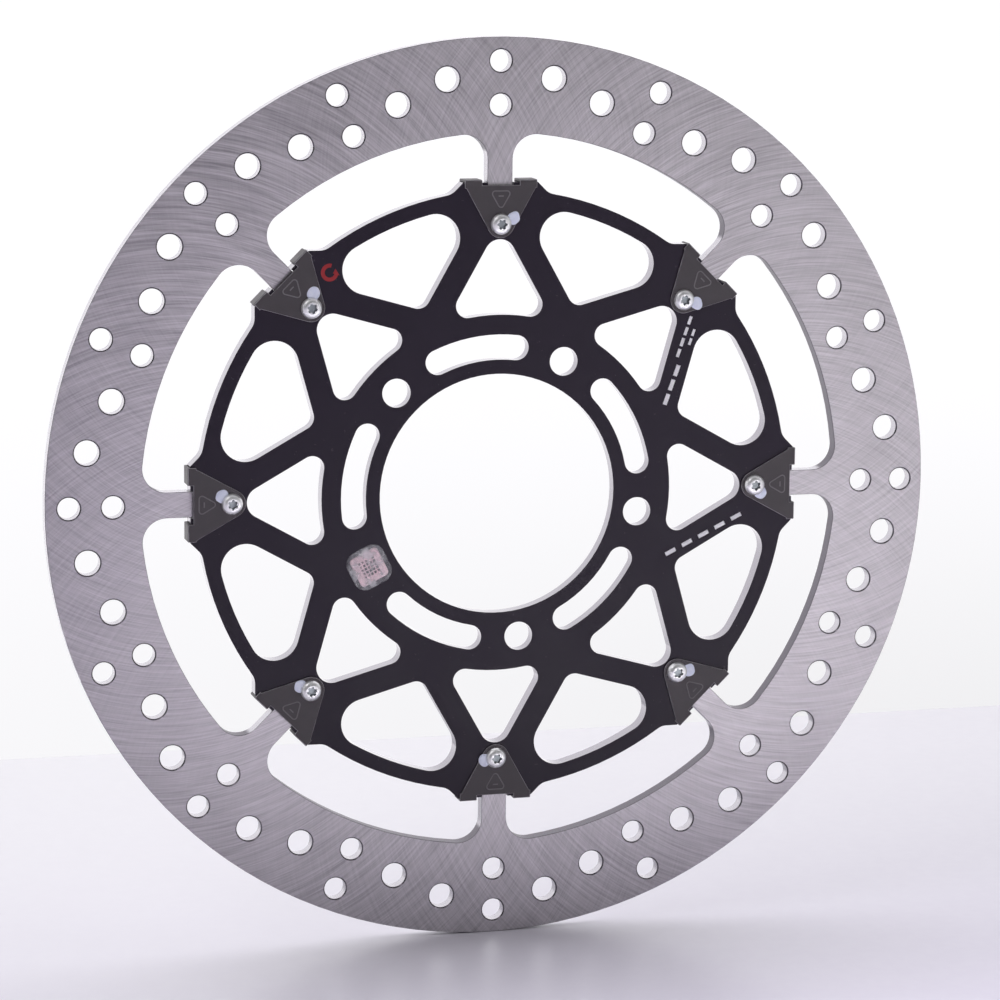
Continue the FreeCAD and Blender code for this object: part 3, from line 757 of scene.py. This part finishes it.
def sticker(name, side, corner_radius, thickness, crown, base, place, material):
    """Square sticker with round corners, a slight crown and small creases."""
    mesh = bmesh.new()
    grid = {}
    half = side / 2.0
    for level in (0, 1):
        for i in range(LABEL_STEPS + 1):
            for j in range(LABEL_STEPS + 1):
                u = 2.0 * i / LABEL_STEPS - 1.0
                v = 2.0 * j / LABEL_STEPS - 1.0
                pull = corner_pull(u, v, corner_radius / half)
                x, y = u * pull * half, v * pull * half
                edge = 1.0 - max(abs(u), abs(v)) ** LABEL_FLATNESS
                spot = Vector((x, y, base * CREASE_NOISE_STEP)) * CREASES_PER_METRE
                crease = noise.noise(spot) * CREASE_HEIGHT
                full = min(1.0, edge * LABEL_EDGE_SLOPE)
                rise = thickness * full + (crown + crease) * edge
                z = base + level * rise
                grid[level, i, j] = mesh.verts.new((x, y, z))
    for level in (0, 1):
        for i in range(LABEL_STEPS):
            for j in range(LABEL_STEPS):
                corners = ((i, j), (i + 1, j), (i + 1, j + 1), (i, j + 1))
                ring = [grid[level, a, b] for a, b in corners]
                mesh.faces.new(ring if level else list(reversed(ring)))
    bmesh.ops.remove_doubles(mesh, verts=mesh.verts, dist=LABEL_WELD)
    finish_piece(name, mesh, place, material)


def stock_label():
    """Clear round-cornered film over a small pink foil printed with a plain grid."""
    angle = math.radians(LABEL_ANGLE)
    x = BOLT_RADIUS * math.cos(angle)
    z = BOLT_RADIUS * math.sin(angle) - LABEL_DROP
    place = face_matrix(x, z, LABEL_TURN, CARRIER_FACE_Y)
    foil = (FOIL_SIDE, FOIL_CORNER_R, FOIL_THICKNESS, FOIL_CROWN, FOIL_BASE)
    film = (FILM_SIDE, FILM_CORNER_R, FILM_THICKNESS, FILM_CROWN, FILM_BASE)
    sticker("label_foil", *foil, place, "label_foil")
    sticker("label_film", *film, place, "label_film")
    grid = bmesh.new()
    middle = (PRINT_CELLS - 1) / 2.0
    for row in range(PRINT_CELLS):
        for column in range(PRINT_CELLS):
            x, y = (column - middle) * PRINT_PITCH, (row - middle) * PRINT_PITCH
            bar(grid, PRINT_CELL_SIDE, PRINT_CELL_SIDE, PRINT_THICKNESS, x, y)
    raised = place @ Matrix.Translation((0.0, 0.0, PRINT_BASE))
    finish_piece("label_print", grid, raised, "grey_print", False)


# ---- floor, world and lights ----------------------------------------------------------------
FLOOR_BACK = 0.30           # floor behind the disc, to its far edge
FLOOR_FRONT = 3.0
FLOOR_SIDE = 2.5
FLOOR_FADE_START = -0.35    # y at which the near painted shade begins to give way to the far colour
# Near colours are painted shade, darker on the right; the far colour meets the white room.
FLOOR_NEAR_LEFT_SHADE = (0.67, 0.635, 0.75)
FLOOR_NEAR_RIGHT_SHADE = (0.50, 0.465, 0.585)
FLOOR_FAR = (0.80, 0.79, 0.83)
FLOOR_AHEAD_PAINTED_LIGHT = (0.95, 0.94, 0.97)    # painted pool of light in front of the disc and out of the picture


def make_floor():
    """Pale glossy table with painted light and shade: darker near the disc and more to the right,
    lighter towards its far edge where it fades into the white room, and a painted pool of light in
    front of the disc.
    """
    material, tree, shader = new_material("floor", Specular_IOR_Level=0.35)
    x, y, z = place_of(tree)
    # Painted shade: darker near the disc, more to the right, and on the right reaching further
    # back.
    rightward_shade = ramp(tree, x, -0.1, 0.5, 0.0, 0.3)
    shade_fade = minus(tree, ramp(tree, y, FLOOR_FADE_START, FLOOR_BACK), rightward_shade)
    near_shade = blend(tree, ramp(tree, x, -0.15, 0.15), FLOOR_NEAR_LEFT_SHADE, FLOOR_NEAR_RIGHT_SHADE)
    colour = blend(tree, shade_fade, near_shade, FLOOR_FAR)
    # Painted light: a brighter pool on the table in front of the disc, for the band to reflect.
    lean = plus(tree, x, times(tree, y, 0.5))
    ahead = times(tree, ramp(tree, y, -0.12, -0.20), ramp(tree, lean, -0.34, -0.10))
    colour = blend(tree, ahead, colour, FLOOR_AHEAD_PAINTED_LIGHT)
    mottle = speckle(tree, joined(tree, x, y, z), 220.0, detail=2.0)
    rough = ramp(tree, mottle, 0.3, 0.7, 0.30, 0.36)
    wire(tree, shader, Base_Color=colour, Roughness=rough)

    mesh = bmesh.new()
    left_front, right_front = (-FLOOR_SIDE, -FLOOR_FRONT), (FLOOR_SIDE, -FLOOR_FRONT)
    right_back, left_back = (FLOOR_SIDE, FLOOR_BACK), (-FLOOR_SIDE, FLOOR_BACK)
    corners = (left_front, right_front, right_back, left_back)
    mesh.faces.new([mesh.verts.new((cx, cy, CAD_LOW.z)) for cx, cy in corners])
    data = bpy.data.meshes.new("floor")
    mesh.to_mesh(data)
    mesh.free()
    data.materials.append(material)
    floor = bpy.data.objects.new("floor", data)
    bpy.context.scene.collection.objects.link(floor)


ROOM_LIGHT = (0.985, 0.975, 1.0, 1.0)
ROOM_SEEN = (0.985, 0.98, 1.0, 1.0)
FRONT_LEFT_POWER = 0.20
FRONT_RIGHT_POWER = 0.42
FRONT_TOP_SHARE = 0.5       # of the front's power, high up
BEHIND_POWER = 1.55
WALL_POWER = 1.03           # as the camera sees the room, above the table's far edge
# To the eye the room is dimmed near the table's far edge, more on the right: painted shade.
HORIZON_LEFT_PAINTED_SHADE = 0.955
HORIZON_RIGHT_PAINTED_SHADE = 0.87


def make_world():
    """White room: bright behind the disc, dimmer in front of it, and to the eye white with painted
    shade low down near the table, more on the right.
    """
    world = bpy.data.worlds.new("studio")
    bpy.context.scene.world = world
    world.use_nodes = True
    tree = world.node_tree
    tree.nodes.clear()
    direction = add(tree, "ShaderNodeTexCoord").outputs["Generated"]
    x, y, z = add(tree, "ShaderNodeSeparateXYZ", {0: direction}).outputs
    front = ramp(tree, x, -0.5, 0.7, FRONT_LEFT_POWER, FRONT_RIGHT_POWER)
    front = times(tree, front, ramp(tree, z, -0.2, 0.6, 1.0, FRONT_TOP_SHARE))
    power = between(tree, ramp(tree, y, -0.55, 0.45), front, BEHIND_POWER)
    light = add(tree, "ShaderNodeBackground", {0: ROOM_LIGHT, 1: power})
    # Painted shade on the backdrop the camera sees, low down and to the right.
    horizon_shade = ramp(tree, x, 0.10, 0.42, HORIZON_LEFT_PAINTED_SHADE, HORIZON_RIGHT_PAINTED_SHADE)
    backdrop = ramp(tree, z, -0.25, -0.12, horizon_shade, WALL_POWER)
    seen = add(tree, "ShaderNodeBackground", {0: ROOM_SEEN, 1: backdrop})
    eye = add(tree, "ShaderNodeLightPath").outputs["Is Camera Ray"]
    mix = add(tree, "ShaderNodeMixShader", {0: eye, 1: light.outputs[0], 2: seen.outputs[0]})
    add(tree, "ShaderNodeOutputWorld", {0: mix.outputs[0]})


SOFTBOX_COLOUR = (1.0, 0.985, 1.0)
# Softboxes: name, place, point aimed at, size, watts and spread in degrees.
SOFTBOXES = (
    ("key", (-1.3, -0.9, 1.7), (0.0, 0.0, 0.0), (1.0, 1.0), 5.0, 180.0),
    ("side", (1.25, -1.9, 0.08), (0.0, 0.0, 0.0), (1.0, 0.46), 2.4, 180.0),
    ("table", (0.15, -0.55, 0.5), (0.12, -0.44, CAD_LOW.z), (0.4, 0.3), 1.3, 50.0),
)


def softbox(name, place, aim, size, power, spread):
    data = bpy.data.lights.new(name, "AREA")
    data.shape = "RECTANGLE"
    data.size, data.size_y = size
    data.energy = power
    data.spread = math.radians(spread)
    data.color = SOFTBOX_COLOUR
    light = bpy.data.objects.new(name, data)
    bpy.context.scene.collection.objects.link(light)
    turn = (Vector(aim) - Vector(place)).to_track_quat("-Z", "Y").to_matrix().to_4x4()
    light.matrix_world = Matrix.Translation(place) @ turn


# ---- the scene ------------------------------------------------------------------------------
make_camera()
dress_frame()
for station in range(1, STATIONS + 1):
    paint_dab(station, PAINT_OFFSETS[station - 1])
    clip_stamp(station)
spoke_marks()
rotation_arrow()
stock_label()
make_floor()
make_world()
for lamp in SOFTBOXES:
    softbox(*lamp)

bpy.context.scene.view_settings.view_transform = "Standard"
